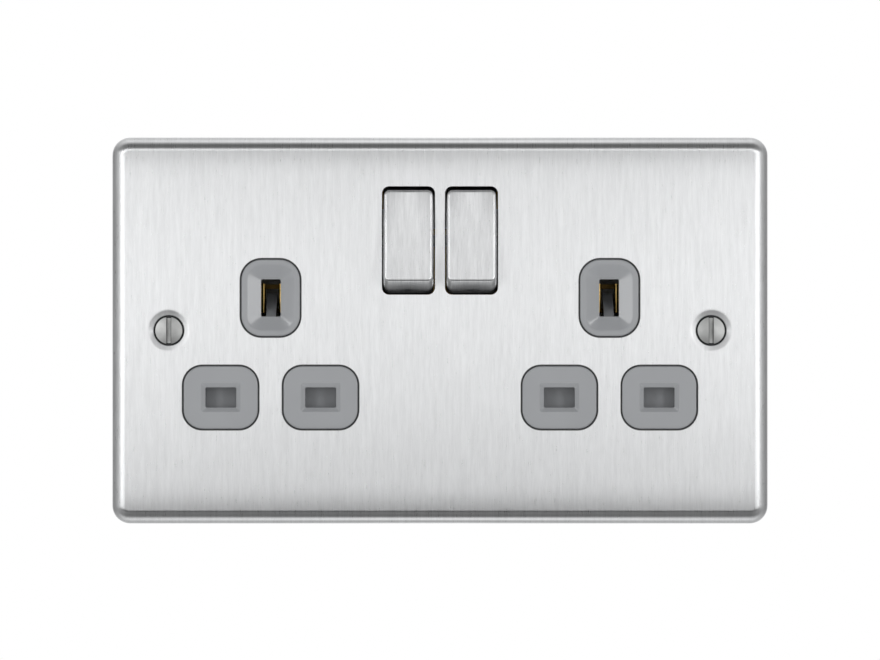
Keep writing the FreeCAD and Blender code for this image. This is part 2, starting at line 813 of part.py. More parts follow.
def earth_bar():
    """Strip that links both earth clips, the earth terminals and two plate screws."""
    half = strip_w / 2
    first, last = earth_terminal_x
    shapes = [bar(-outlet_x - half, outlet_x + half, earth_z - half, earth_z + half, earth_plane),
              bar(first - half, first + half, terminal_top, earth_z, earth_plane),
              bar(last - half, first + half, terminal_top, terminal_top + earth_link, earth_plane)]
    grip = pin_grip(earth_pin_t)
    pad_w = 2 * (grip + clip_mouth / 2 + leaf_t)
    holes = []
    for s, (ex, ez) in zip(sides, upper_pillars):
        x = s * outlet_x
        shapes.append(centred(x, earth_z, pad_w, earth_clip_w, earth_plane, earth_plane + strip_t))
        shapes += leaf_pair(x, earth_z, earth_plane, grip, earth_clip_w, True)
        # The pad is open in the middle, so that the tip of the pin can pass
        holes.append(centred(x, earth_z, pad_w - 2 * pad_rim, earth_clip_w - 2 * pad_rim,
                             earth_plane - past, eyelet_back + past))
        # An eyelet under an assembly screw earths the plate
        shapes.append(rod(ex, earth_plane, ez, eyelet_r, strip_t))
        shapes.append(bar(ex - half, ex + half, earth_z, ez, earth_plane))
        holes.append(rod(ex, earth_plane - past, ez, assembly_r + eyelet_gap, strip_t + 2 * past))
    return join(shapes).cut(holes)


def shutter(side):
    """Safety shutter: a bar behind both power slots, a stem and the ramp that the earth pin pushes."""
    x = side * outlet_x
    low = live_z - shutter_bar_h / 2
    high = live_z + shutter_bar_h / 2
    half = pin_pitch / 2 + shutter_reach
    cross = box(x - half, x + half, shutter_front, shutter_back, low, high)
    long_edges = [e for e in edges_at(cross, shutter_front) if e.BoundBox.ZLength < tiny]
    cross = cross.makeChamfer(shutter_bevel, long_edges)
    stem = box(x - stem_shutter_w / 2, x + stem_shutter_w / 2, shutter_front, shutter_back,
               high - bite, slot_low)
    ramp_back = shutter_front + shutter_stroke + ramp_end
    ramp_top = slot_low + shutter_stroke
    ramp = profile_yz([(ramp_front, slot_low), (ramp_back - ramp_end, ramp_top), (ramp_back, ramp_top),
                       (ramp_back, slot_low + ramp_neck), (shutter_back, slot_low - ramp_root),
                       (shutter_front, slot_low - ramp_root), (ramp_front, slot_low - ramp_tip)],
                      x - ramp_w / 2, x + ramp_w / 2)
    block_r = spring_r + spring_wire + spring_wall
    spring_y = shutter_front + block_r
    block = box(x - block_r, x + block_r, shutter_front, spring_y + block_r, low, low + block_h)
    peg = rod(x, spring_y, low - peg_len, peg_r, peg_len + bite, up)
    return join([cross, stem, ramp, block, peg])


def shutter_spring(side):
    """Return spring under the shutter."""
    low = live_z - shutter_bar_h / 2
    y = shutter_front + spring_r + spring_wire + spring_wall
    start = Vector(side * outlet_x, y, low - spring_room)
    return spring(start, up, spring_room, spring_r, spring_wire, spring_turns)


def terminal(x):
    """Brass block with a wire tunnel from below and a tapped hole from behind."""
    block = box(x - terminal_w / 2, x + terminal_w / 2, terminal_front, terminal_back,
                terminal_foot, terminal_top)
    block = block.makeChamfer(terminal_bevel, [e for e in block.Edges if e.BoundBox.ZLength > tiny])
    tunnel = rod(x, wire_y, terminal_foot - past, wire_r, wire_depth + past, up)
    tapped = rod(x, wire_y, clamp_z, clamp_r + run_gap, terminal_d)
    return block.cut([tunnel, tapped])


def terminal_screw(x):
    """Clamp screw, backed out so that the wire tunnel is free."""
    start = wire_y + wire_r + clamp_clear
    head_y = start + clamp_len - clamp_head_t
    end = head_y + clamp_head_t
    shank = rod(x, start, clamp_z, clamp_r, head_y - start)
    head = rod(x, head_y, clamp_z, clamp_head_r, clamp_head_t)
    head = head.makeFillet(clamp_round, edges_at(head, end))
    slot = centred(x, clamp_z, 3 * clamp_head_r, clamp_slot, end - clamp_slot, end + past)
    return join([shank, head]).cut(slot)


def contact_ribs():
    """Ribs that rise from the housing's back wall to the bars: a list of (x, z, level)."""
    live_back = live_plane + strip_t
    neutral_back = neutral_plane + strip_t
    run_z = rocker_z + tip_z
    under_z = rocker_z - 2 * rib
    lines = [live_down_x(s) for s in sides]
    ribs = [(s * rocker_x, rocker_z, live_back) for s in sides]
    ribs += [(0, z, live_back) for z in (under_z, rib / 3, live_z + 2)]
    ribs += [(x, z, live_back) for x in lines for z in (under_z, -bite)]
    ribs += [((lines[0] - rocker_x - strip_w) / 2, run_z, live_back)]
    ribs += [(x, run_z, live_back) for x in (live_x[1] / 2, live_x[1] - 2 * rib)]
    ribs += [(live_x[s], live_z, live_back) for s in sides]
    ribs += [(neutral_x[s], live_z, neutral_back) for s in sides]
    ribs += [(x, neutral_run_z, neutral_back) for x in (-rocker_x, neutral_x[1] - rocker_x)]
    ribs += [(s * x, earth_z, eyelet_back) for s in sides for x in (outlet_x - 2 * rib, rocker_x)]
    return ribs


def terminal_cell(x):
    """Walls that hold one terminal, and the openings for its wire and its screw."""
    reach = terminal_w / 2 + fit_gap
    root = cavity_back + wall / 2
    foot, top = housing_foot + wall / 2, terminal_top - cell_wall
    front = terminal_front - fit_gap
    walls = [box(x + s * reach, x + s * (reach + cell_wall), front - cell_wall, root, foot, top)
             for s in sides]
    walls.append(box(x - reach, x + reach, front - cell_wall, front, foot, top))
    pocket_top = clamp_z + clamp_head_r + clamp_room + terminal_pocket
    # The wire's entry is a notch in the foot, open to the back
    under = (housing_foot - past, housing_foot + wall + terminal_gap / 2)
    openings = [rod(x, wire_y, under[0], entry_r, under[1] - under[0], up),
                box(x - entry_r, x + entry_r, wire_y, housing_back + past, *under),
                rod(x, cavity_back - past, clamp_z, clamp_head_r + clamp_room, wall + 2 * past),
                box(x - terminal_w / 2, x + terminal_w / 2, housing_back - terminal_pocket,
                    housing_back + past, housing_foot - past, pocket_top)]
    return walls, openings


def back_relief():
    """Shallow panels and round ejector marks in the back of the housing."""
    levels = (housing_back - panel_drop, housing_back + past)
    cuts = [rounded(x, panel_z, panel_w, panel_h, panel_r, *levels) for x in (-outlet_x, 0, outlet_x)]
    cuts += [rod(s * mark_x, housing_back - mark_drop, mark_z, mark_r, past) for s in sides]
    return cuts


def rear_housing():
    """Moulded box behind the insert: walls, contact ribs, screw wells and terminal cells."""
    mid_z = (housing_top + housing_foot) / 2
    height = housing_top - housing_foot
    outer = rounded(0, mid_z, housing_w, height, corner_r, insert_back, housing_back)
    outer = outer.makeFillet(back_r, edges_at(outer, housing_back))
    inner = rounded(0, mid_z, housing_w - 2 * wall, height - 2 * wall, corner_r - wall,
                    insert_back - past, cavity_back)
    solids = [outer.cut(inner)]
    root = cavity_back + wall / 2
    solids += [centred(x, z, rib, rib, level, root) for x, z, level in contact_ribs()]
    cutters = back_relief()
    # Wells for the assembly screws, each on a boss that meets the pillar or the eyelet on it
    for places, front in ((upper_pillars, eyelet_back), (lower_pillars, earth_plane)):
        for x, z in places:
            solids.append(rod(x, front, z, well_r + well_wall, root - front))
            cutters.append(rod(x, eyelet_back, z, well_r, housing_back))
            cutters.append(rod(x, earth_plane - past, z, screw_room_r, housing_back))
    for x in (live_terminal_x, neutral_terminal_x) + earth_terminal_x:
        walls, openings = terminal_cell(x)
        solids += walls
        cutters += openings
    for s in sides:
        x = s * outlet_x
        # A wall keeps live and neutral apart, with a notch for the bar that crosses it
        solids.append(box(x - cell_wall / 2, x + cell_wall / 2, divider_front, root,
                          housing_foot + wall / 2, earth_z - divider_drop))
        cutters.append(centred(x, neutral_run_z, 3 * cell_wall, strip_w + 4 * fit_gap,
                               divider_front - past, neutral_plane + strip_t))
        # Two posts back up the shutter where it slides
        for hand in sides:
            solids.append(centred(x + hand * post_x, live_z, post_w, shutter_bar_h + post_over,
                                  shutter_back + shutter_gap, root))
        # Stop under the seesaw's lower arm
        stop_z = rocker_z - tip_z + stop_h / 4
        solids.append(centred(s * rocker_x, stop_z, stop_w, stop_h,
                              seesaw_stop_y(stop_z - stop_h / 2), root))
    return join(solids).cut(cutters)


def assembly_screws():
    """Screws from behind through the housing into the pillars."""
    end = eyelet_back + assembly_head_t
    screws = []
    for x, z in pillar_places:
        shank = rod(x, eyelet_back - assembly_len, z, assembly_r, assembly_len + bite)
        head = rod(x, eyelet_back, z, assembly_head_r, assembly_head_t)
        head = head.makeFillet(assembly_round, edges_at(head, end))
        cross = [centred(x, z, w, h, end - cross_d, end + past)
                 for w, h in ((cross_w, cross_t), (cross_t, cross_w))]
        screws.append(join([shank, head]).cut(cross))
    return Part.makeCompound(screws)


def plate_pillars():
    """Tapped pillars welded behind the plate, which carry the housing and earth the plate."""
    pillars = []
    for x, z in pillar_places:
        pillar = rod(x, plate_back, z, pillar_r, pillar_end - plate_back)
        bore = rod(x, pillar_end - pillar_bore_len, z, pillar_bore_r, pillar_bore_len + past)
        pillars.append(pillar.cut(bore))
    return Part.makeCompound(pillars)


hands = {-1: "left", 1: "right"}
pieces = {
    "front_plate": front_plate(),
    "plate_pillars": plate_pillars(),
    "insert_moulding": insert_moulding(),
    "rear_housing": rear_housing(),
    "assembly_screws": assembly_screws(),
    "live_supply_bar": live_supply_bar(),
    "neutral_bar": neutral_bar(),
    "earth_bar": earth_bar(),
    "live_terminal": terminal(live_terminal_x),
    "live_terminal_screw": terminal_screw(live_terminal_x),
    "neutral_terminal": terminal(neutral_terminal_x),
    "neutral_terminal_screw": terminal_screw(neutral_terminal_x),
}
for number, place in enumerate(earth_terminal_x, 1):
    pieces[f"earth_terminal_{number}"] = terminal(place)
    pieces[f"earth_terminal_screw_{number}"] = terminal_screw(place)
for side, hand in hands.items():
    pieces["fixing_screw_" + hand] = fixing_screw(side * fixing_pitch / 2)
    pieces["rocker_" + hand] = rocker(side * rocker_x)
    pieces["rocker_cap_" + hand] = rocker_cap(side * rocker_x)
    pieces["plunger_" + hand] = plunger(side * rocker_x)
    pieces["rocker_spring_" + hand] = rocker_spring(side * rocker_x)
    pieces["moving_contact_" + hand] = moving_contact(side * rocker_x)
    pieces["moving_tip_" + hand] = moving_tip(side * rocker_x)
    pieces["live_outlet_contact_" + hand] = live_outlet_contact(side)
    pieces["fixed_tip_" + hand] = fixed_tip(side)
    pieces["shutter_" + hand] = shutter(side)
    pieces["shutter_spring_" + hand] = shutter_spring(side)

for name, shape in pieces.items():
    write(name, shape)
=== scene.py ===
# %% [markdown]
# # A twin wall socket in brushed steel
#
# This lesson dresses a two-gang switched socket: a pressed steel plate, a grey moulded insert,
# two steel-capped rockers, brass contacts and a white housing at the back. The construction
# comes from the frame, in metres, and every shape keeps its place. Here each surface gets the
# finish that its maker gave it, and the fine things that repeat, such as threads and coils,
# get their own meshes.

# %% Load the frame and keep its box
import json
import math

import bmesh
import bpy
from mathutils import Matrix, Vector


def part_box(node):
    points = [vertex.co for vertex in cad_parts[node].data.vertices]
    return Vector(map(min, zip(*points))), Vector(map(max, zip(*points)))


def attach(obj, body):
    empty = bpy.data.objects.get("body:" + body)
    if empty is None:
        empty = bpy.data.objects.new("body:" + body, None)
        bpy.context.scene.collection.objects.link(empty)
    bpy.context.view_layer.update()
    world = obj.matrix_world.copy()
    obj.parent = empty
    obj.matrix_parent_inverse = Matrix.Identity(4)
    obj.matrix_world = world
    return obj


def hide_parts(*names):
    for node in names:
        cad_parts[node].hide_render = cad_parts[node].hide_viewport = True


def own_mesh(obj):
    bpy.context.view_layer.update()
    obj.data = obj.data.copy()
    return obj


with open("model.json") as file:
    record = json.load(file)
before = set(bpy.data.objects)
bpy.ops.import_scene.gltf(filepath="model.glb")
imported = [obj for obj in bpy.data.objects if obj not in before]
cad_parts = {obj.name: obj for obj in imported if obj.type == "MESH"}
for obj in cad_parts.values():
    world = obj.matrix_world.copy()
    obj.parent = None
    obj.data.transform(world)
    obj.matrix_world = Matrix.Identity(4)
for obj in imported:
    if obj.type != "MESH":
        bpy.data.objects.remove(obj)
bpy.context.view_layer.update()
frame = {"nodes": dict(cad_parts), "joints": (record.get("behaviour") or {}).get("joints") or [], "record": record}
MM = 0.001

# %% [markdown]
# ## Colours as a paint chart gives them
#
# A finish is described by an sRGB hex value, as a designer would read it off a swatch. The
# shader wants linear light, so one function does the conversion and nothing else is typed in
# linear numbers.

# %% From hex to linear colour


def colour(hex_value):
    """Turns an sRGB hex value such as C8C9CA into a linear RGBA tuple."""
    channels = [int(hex_value[i:i + 2], 16) / 255 for i in (0, 2, 4)]
    linear = [c / 12.92 if c <= 0.04045 else ((c + 0.055) / 1.055) ** 2.4 for c in channels]
    return (*linear, 1.0)


print("mid grey in linear light:", round(colour("808080")[0], 3))

# %% [markdown]
# ## One helper for every node
#
# Shader trees and geometry trees are both lists of nodes with settings and links. One small
# function makes a node, sets its properties and fills its inputs: with a value where a value
# is given, and with a link where a socket or a whole node is given. A whole node stands for
# its first output, which is nearly always the one that is wanted.

# %% Add a node


def add(tree, kind, inputs=None, **settings):
    """Adds a node, sets its properties, and sets or links its inputs by name or number."""
    node = tree.nodes.new(kind)
    for key, value in settings.items():
        setattr(node, key, value)
    for key, value in (inputs or {}).items():
        source = value.outputs[0] if isinstance(value, bpy.types.Node) else value
        if isinstance(source, bpy.types.NodeSocket):
            tree.links.new(source, node.inputs[key])
        else:
            node.inputs[key].default_value = source
    return node


def new_material(name):
    """An empty material and its node tree."""
    material = bpy.data.materials.new(name)
    material.use_nodes = True
    material.node_tree.nodes.clear()
    return material, material.node_tree


print("helpers ready:", add.__name__, new_material.__name__)

# %% [markdown]
# ## Grain from real millimetres
#
# Brushing leaves long narrow scratches, and a mould leaves a fine even tooth. Both are noise:
# the first is stretched along the brush, the second is not. The scale of each comes from a
# size in millimetres along every axis, so the grain stays right whatever the piece. Noise
# seldom comes near 0 or 1, so a colour follows only the middle of its range.

# %% A noise field with a real size, and a colour that follows it
NOISE_LOW, NOISE_HIGH = 0.3, 0.7


def grain(tree, size_mm, detail=2.0, roughness=0.5):
    """Noise on Object coordinates whose features measure size_mm along X, Y and Z."""
    place = add(tree, "ShaderNodeTexCoord").outputs["Object"]
    scale = tuple(1 / (s * MM) for s in size_mm)
    stretched = add(tree, "ShaderNodeMapping", {"Vector": place, "Scale": scale})
    return add(tree, "ShaderNodeTexNoise", {
        "Vector": stretched, "Scale": 1.0, "Detail": detail, "Roughness": roughness})


def two_tone(tree, field, start, end, near, far):
    """A colour that goes from one hex value to another while a field goes from start to end."""
    share = add(tree, "ShaderNodeMapRange", {"Value": field, "From Min": start, "From Max": end})
    return add(tree, "ShaderNodeMix", {"Factor": share, 6: colour(near), 7: colour(far)},
               data_type="RGBA").outputs[2]


print("fields ready:", grain.__name__, two_tone.__name__)

# %% [markdown]
# ## Shade in the gaps
#
# Shadow falls where two pieces meet, and a dark line round each piece is how the eye tells it
# from its neighbour, so that shade is painted into the colour. It could be painted by hand or
# baked, but a node that measures how much of the sky a point sees finds every gap by itself,
# at every pose. The colour is painted fully dark where little sky is seen, and untouched where
# most of it is.

# %% Darken a colour in tight gaps
SKY_SAMPLES = 8


def shaded(tree, body, dark, reach_mm, closed, clear):
    """Paints shade into a colour where faces within reach leave it less sky than clear, fully at closed."""
    sky = add(tree, "ShaderNodeAmbientOcclusion", {"Distance": reach_mm * MM}, samples=SKY_SAMPLES)
    hidden = add(tree, "ShaderNodeMapRange", {
        "Value": sky.outputs["AO"], "From Min": closed, "From Max": clear, "To Min": 1.0, "To Max": 0.0})
    return add(tree, "ShaderNodeMix", {"Factor": hidden, 6: body, 7: colour(dark)},
               data_type="RGBA").outputs[2]


print("shade uses", SKY_SAMPLES, "looks at the sky for each point")

# %% [markdown]
# ## The form that a press leaves
#
# A press never leaves a sheet dead flat near its rolled edge: the face starts to fall a few
# millimetres before the roll. That fall is too slight for the outline, so it is a relief. It
# is nothing at first and steepens towards the edge, as the third power does.
#
# The two dimples for the screws were pressed with a soft tool, so on the real plate they
# melt into the face. A second relief lifts them back most of the way, by a share of their
# own depth. The narrow ring of plate under each screw head lies in its shadow, and it is
# marked so that its colour can be dark.

# %% Reliefs for the plate's edge and for its dimples
plate_low, plate_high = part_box("front_plate")
screw_low, screw_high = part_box("fixing_screw_right")
FALL_START, FALL_DROP, FALL_POWER = 10.0 * MM, 0.42 * MM, 3.0
SCREW_X = (screw_low.x + screw_high.x) / 2
DIMPLE_REACH, DIMPLE_LIFT = 5.6 * MM, 0.78
FLOOR_DEPTH, FLOOR_MARGIN, FLOOR_REACH = 0.9 * MM, 0.07 * MM, 3.45 * MM


def press_fall(tree):
    """A relief that falls away towards the plate's top and foot."""
    place = add(tree, "ShaderNodeTexCoord").outputs["Object"]
    height = add(tree, "ShaderNodeSeparateXYZ", {0: place}).outputs[2]
    from_middle = add(tree, "ShaderNodeMath", {0: height}, operation="ABSOLUTE")
    share = add(tree, "ShaderNodeMapRange", {
        "Value": from_middle, "From Min": plate_high.z - FALL_START, "From Max": plate_high.z})
    bend = add(tree, "ShaderNodeMath", {0: share, 1: FALL_POWER}, operation="POWER")
    return add(tree, "ShaderNodeBump", {"Height": bend, "Distance": FALL_DROP}, invert=True)


def soft_dimples(tree, under):
    """A relief that softens the dimples, their depth in metres, and the mask of the painted shadow on their
    floors.
    """
    place = add(tree, "ShaderNodeTexCoord").outputs["Object"]
    one_side = add(tree, "ShaderNodeVectorMath", {0: place}, operation="ABSOLUTE")
    # Y is negative at the plate's front, so this difference is the depth below the face.
    centre = (SCREW_X, -plate_low.y, 0.0)
    offset = add(tree, "ShaderNodeVectorMath", {0: centre, 1: one_side}, operation="SUBTRACT")
    across = add(tree, "ShaderNodeVectorMath", {0: offset, 1: (1.0, 0.0, 1.0)}, operation="MULTIPLY")
    radius = add(tree, "ShaderNodeVectorMath", {0: across}, operation="LENGTH").outputs["Value"]
    inside = add(tree, "ShaderNodeMath", {0: radius, 1: DIMPLE_REACH}, operation="LESS_THAN")
    drop = add(tree, "ShaderNodeSeparateXYZ", {0: offset}).outputs[1]
    depth = add(tree, "ShaderNodeMath", {0: drop, 1: inside}, operation="MULTIPLY")
    deep = add(tree, "ShaderNodeMath", {0: depth, 1: FLOOR_DEPTH - FLOOR_MARGIN}, operation="GREATER_THAN")
    close = add(tree, "ShaderNodeMath", {0: radius, 1: FLOOR_REACH}, operation="LESS_THAN")
    floor_shadow = add(tree, "ShaderNodeMath", {0: deep, 1: close}, operation="MULTIPLY")
    lift = add(tree, "ShaderNodeMath", {0: depth, 1: DIMPLE_LIFT}, operation="MULTIPLY")
    # The lift is in metres already, so its distance is 1.
    relief = add(tree, "ShaderNodeBump", {"Height": lift, "Distance": 1.0, "Normal": under})
    return relief, depth, floor_shadow


print("screw dimples at x in mm:", round(SCREW_X / MM, 2))

# %% [markdown]
# ## Brushed stainless steel
#
# The plate and the rocker caps are stainless sheet, linished with an abrasive belt that ran
# up and down. The belt leaves vertical scratches a few millimetres long. They spread light
# sideways, so a lamp smears into a wide soft glow across the sheet and stays fairly sharp up
# and down. That is what anisotropy does. A second, wider noise gives the faint bands that
# the eye reads as brushing from a step away. The scratches are drawn about 0.2 mm wide,
# coarser than real ones, so that they show in the render.
#
# The belt can't reach into the dimples, so they stay duller than the face.

# %% The steel of the plate and caps
STEEL_ROUGH, STEEL_SWING, DIMPLE_DULL = 0.30, 0.03, 0.12
STREAK_LOW, STREAK_HIGH = 0.7, 1.3
SCRATCH_DEPTH = 0.0012 * MM


def brushed_steel(name, dark, light, scratch_mm, band_mm, anisotropy, shade_reach_mm, pressed=False):
    """Linished stainless steel with vertical scratches, painted shade in its gaps, and the press's reliefs on the
    plate.
    """
    material, tree = new_material(name)
    scratches = grain(tree, scratch_mm, detail=3.0, roughness=0.6)
    brushing = add(tree, "ShaderNodeMath", {0: scratches, 1: grain(tree, band_mm)}, operation="ADD")
    body = two_tone(tree, brushing, STREAK_LOW, STREAK_HIGH, dark, light)
    satin = add(tree, "ShaderNodeMapRange", {
        "Value": scratches, "From Min": NOISE_LOW, "From Max": NOISE_HIGH,
        "To Min": STEEL_ROUGH - STEEL_SWING, "To Max": STEEL_ROUGH + STEEL_SWING})
    relief = {"Height": scratches, "Distance": SCRATCH_DEPTH}
    if pressed:
        relief["Normal"], depth, floor_shadow = soft_dimples(tree, press_fall(tree))
        dull = add(tree, "ShaderNodeMapRange", {
            "Value": depth, "From Max": FLOOR_DEPTH / 2, "To Max": DIMPLE_DULL})
        satin = add(tree, "ShaderNodeMath", {0: satin, 1: dull}, operation="ADD")
        # The floor ring under each screw head is painted dark as the head's shadow.
        body = add(tree, "ShaderNodeMix", {"Factor": floor_shadow, 6: body, 7: colour("3A3B3C")},
                   data_type="RGBA").outputs[2]
    # The colour is painted dark as shade where other faces hem it in.
    surface = add(tree, "ShaderNodeBsdfPrincipled", {
        "Base Color": shaded(tree, body, "1C1D1E", shade_reach_mm, closed=0.5, clear=0.85),
        "Metallic": 1.0,
        "Roughness": satin,
        "Anisotropic": anisotropy,
        "Tangent": add(tree, "ShaderNodeTangent", direction_type="RADIAL", axis="Z"),
        "Normal": add(tree, "ShaderNodeBump", relief)})
    add(tree, "ShaderNodeOutputMaterial", {"Surface": surface})
    return material


# The long belt strokes on the plate give a wide, calm, slightly streaked glow.
plate_steel = brushed_steel("linished_stainless_plate", "D1D2D3", "DDDEDF", scratch_mm=(0.2, 2.8, 2.8),
                            band_mm=(0.8, 10.0, 10.0), anisotropy=0.85, shade_reach_mm=0.8, pressed=True)
# The caps were brushed one by one, so their streaks are shorter and stand out more.
cap_steel = brushed_steel("linished_stainless_cap", "D4D5D6", "E9EAEB", scratch_mm=(0.18, 2.6, 2.6),
                          band_mm=(0.7, 7.0, 7.0), anisotropy=0.7, shade_reach_mm=1.6)
print("steel made:", plate_steel.name, cap_steel.name)

# %% [markdown]
# ## Moulded plastics
#
# The insert is urea and the pieces behind it are nylon, acetal and polycarbonate. All come
# from spark-eroded moulds, whose fine tooth takes the shine off. The tooth is a noise of one
# or two tenths of a millimetre, one to five microns deep. A slow second noise varies the colour
# and the roughness a little, as a moulding cools unevenly. The crevices of the two mouldings
# that show their edges get a crevice colour, which is painted shade.

# %% Plastics
FLOW_MM, FLOW_LOW, FLOW_HIGH = 9.0, 0.1, 0.9
PLASTIC_SWING, PLASTIC_IOR = 0.04, 1.56


def moulded_plastic(name, dark, light, rough, tooth_mm=0.15, tooth_depth_mm=0.002, crevice_shade=None):
    """Satin moulded plastic with a fine tooth, and painted shade in its crevices if a colour is given for it."""
    material, tree = new_material(name)
    tooth = grain(tree, (tooth_mm,) * 3, detail=2.0, roughness=0.6)
    flow = grain(tree, (FLOW_MM,) * 3, detail=1.0, roughness=0.4)
    body = two_tone(tree, flow, FLOW_LOW, FLOW_HIGH, dark, light)
    if crevice_shade:
        body = shaded(tree, body, crevice_shade, reach_mm=1.2, closed=0.25, clear=0.6)
    satin = add(tree, "ShaderNodeMapRange", {
        "Value": flow, "From Min": FLOW_LOW, "From Max": FLOW_HIGH,
        "To Min": rough - PLASTIC_SWING, "To Max": rough + PLASTIC_SWING})
    surface = add(tree, "ShaderNodeBsdfPrincipled", {
        "Base Color": body,
        "Roughness": satin,
        "IOR": PLASTIC_IOR,
        "Normal": add(tree, "ShaderNodeBump", {"Height": tooth, "Distance": tooth_depth_mm * MM})})
    add(tree, "ShaderNodeOutputMaterial", {"Surface": surface})
    return material


# Hot-pressed urea is dense and hard, so its slopes carry soft clear highlights; its crevices are painted dark as
# shade.
insert_grey = moulded_plastic("insert_grey_urea", "A0A2A5", "A6A8AB", 0.15,
                              tooth_depth_mm=0.001, crevice_shade="2E2F31")
# Nylon slides well and looks waxy, so the shutters are duller, and their grey is painted darker as the shade
# inside the holes.
shutter_grey = moulded_plastic("shutter_grey_nylon", "86888B", "8E9093", 0.38)
# The rocker's body is the same nylon in the insert's grey, painted dark as shade where the cap wraps it.
rocker_grey = moulded_plastic("rocker_grey_nylon", "A0A1A3", "A8A9AB", 0.38, crevice_shade="1E1F20")
# A housing that nobody sees gets a coarser tooth, which looks chalky.
housing_white = moulded_plastic("housing_white_polycarbonate", "D9D8D2", "DFDED8", 0.4, 0.25, 0.005)
# Acetal is turned or moulded smooth and has a creamy, slightly greasy shine.
plunger_white = moulded_plastic("plunger_white_acetal", "E4E2DA", "EAE8E0", 0.35)
print("plastics made:", insert_grey.name, shutter_grey.name, housing_white.name)

# %% [markdown]
# ## Brass, silver and plated steel
#
# The contacts are stamped from rolled brass, so their grain runs along the strip and the
# surface is slightly stained by handling. The terminals are turned from bar and brighter.
# Deep in an earth slot the strip is painted dark brown as the slot's shade, and only the rolled
# lips, which every pin rubs, stay bright. Screws are steel with a thin nickel or zinc coat, and the
# contact buttons are silver. The nickel is painted dark in its crevices as shade, which draws the
# ring round a head.

# %% Small metals
STAIN_MM, DULLER, SHINIER = 2.5, 0.06, 0.04
LINE_DEPTH = 0.002 * MM


def worked_metal(name, dark, light, rough, grain_mm, crevice_shade=None):
    """Metal with a faint directional grain and slight staining, and painted shade in its crevices if asked."""
    material, tree = new_material(name)
    lines = grain(tree, grain_mm)
    stain = grain(tree, (STAIN_MM,) * 3, detail=3.0, roughness=0.6)
    body = two_tone(tree, stain, NOISE_LOW, NOISE_HIGH, dark, light)
    if crevice_shade:
        body = shaded(tree, body, crevice_shade, reach_mm=0.9, closed=0.4, clear=0.8)
    satin = add(tree, "ShaderNodeMapRange", {
        "Value": stain, "From Min": NOISE_LOW, "From Max": NOISE_HIGH,
        "To Min": rough + DULLER, "To Max": rough - SHINIER})
    surface = add(tree, "ShaderNodeBsdfPrincipled", {
        "Base Color": body,
        "Metallic": 1.0,
        "Roughness": satin,
        "Normal": add(tree, "ShaderNodeBump", {"Height": lines, "Distance": LINE_DEPTH})})
    add(tree, "ShaderNodeOutputMaterial", {"Surface": surface})
    return material


# Rolled strip: warm yellow, with a grain along its length.
strip_brass = worked_metal("rolled_brass_strip", "B08D4A", "D2AE66", 0.30, (0.2, 0.2, 3.0))
# Turned bar: a cleaner yellow, with fine rings left by the tool.
bar_brass = worked_metal("turned_brass_bar", "BE9B55", "DCBB74", 0.25, (3.0, 0.15, 3.0))
# Rolled lips rubbed by pins: the thin gold line that shows in the slot.
bead_brass = worked_metal("bright_brass_bead", "D9B56A", "E6C57E", 0.2, (0.2, 0.2, 3.0))
# Strip behind the lips: painted dark brown and made dull, as the shade deep in the slot.
earth_brass_in_shade = worked_metal("brass_strip_painted_dark", "6E5930", "84693A", 0.4, (0.2, 0.2, 3.0))
# Silver buttons: whiter and shinier than anything round them.
silver = worked_metal("silver_contact", "C9C9C6", "E2E2DF", 0.22, (0.3, 0.3, 0.3))
# Barrel-plated nickel on a screw head: a soft grey sheen with no sharp reflections, and painted shade in its
# crevices.
nickel = worked_metal("nickel_plated_steel", "BDBEBD", "C7C8C7", 0.5, (0.25, 0.25, 0.25), crevice_shade="2A2A2A")
# Zinc plate: a cooler, mottled grey.
zinc = worked_metal("zinc_plated_steel", "9FA19C", "BDBFB8", 0.32, (0.3, 0.3, 0.3))
# Drawn wire: a dark smooth gleam along each turn.
spring_wire = worked_metal("drawn_spring_wire", "8C8C8A", "A6A6A3", 0.28, (0.3, 0.3, 0.3))
print("metals made:", strip_brass.name, silver.name, nickel.name)

# %% [markdown]
# ## Give each node its finish
#
# The record names a slot for every node, such as plate_steel or contact_brass. A table from
# slot to material dresses them all in one loop, so no piece is left in its plain colour. A
# second, short table holds the nodes whose finish differs from the rest of their slot.

# %% Dress the frame's nodes
finishes = {
    "plate_steel": plate_steel,
    "cap_steel": cap_steel,
    "pillar_steel": zinc,
    "insert_plastic": insert_grey,
    "housing_plastic": housing_white,
    "rocker_plastic": rocker_grey,
    "plunger_plastic": plunger_white,
    "shutter_plastic": shutter_grey,
    "contact_brass": strip_brass,
    "terminal_brass": bar_brass,
    "contact_silver": silver,
    "screw_steel": zinc,
    "screw_nickel": nickel,
    "spring_steel": spring_wire,
}
# The earth bar takes the brass that is painted dark as the shade in its slot.
own_finishes = {"earth_bar": earth_brass_in_shade}
slot_of = {entry["node"]: entry["material_slot"] for entry in frame["record"]["subparts"]}
for name, piece in frame["nodes"].items():
    piece.data.materials.clear()
    piece.data.materials.append(own_finishes.get(name, finishes[slot_of[name]]))
print("nodes dressed:", len(frame["nodes"]))

# %% [markdown]
# ## One tree for coils and threads
#
# A compression spring and a screw thread are the same thing to a modeller: a section carried
# along a helix. The tree below makes both. It starts from a flat ring of turns, lifts each
# point by its place along the wire, and carries a small polygon along the result. On a spring
# the first and last turns lie flat, so that it stands square, and the section is round. On a
# screw the lift is even from end to end, and the section has four sides with a ridge outwards.
# A sweep by a screw modifier would do as well, but named inputs make one tree serve all.

# %% The helix tree


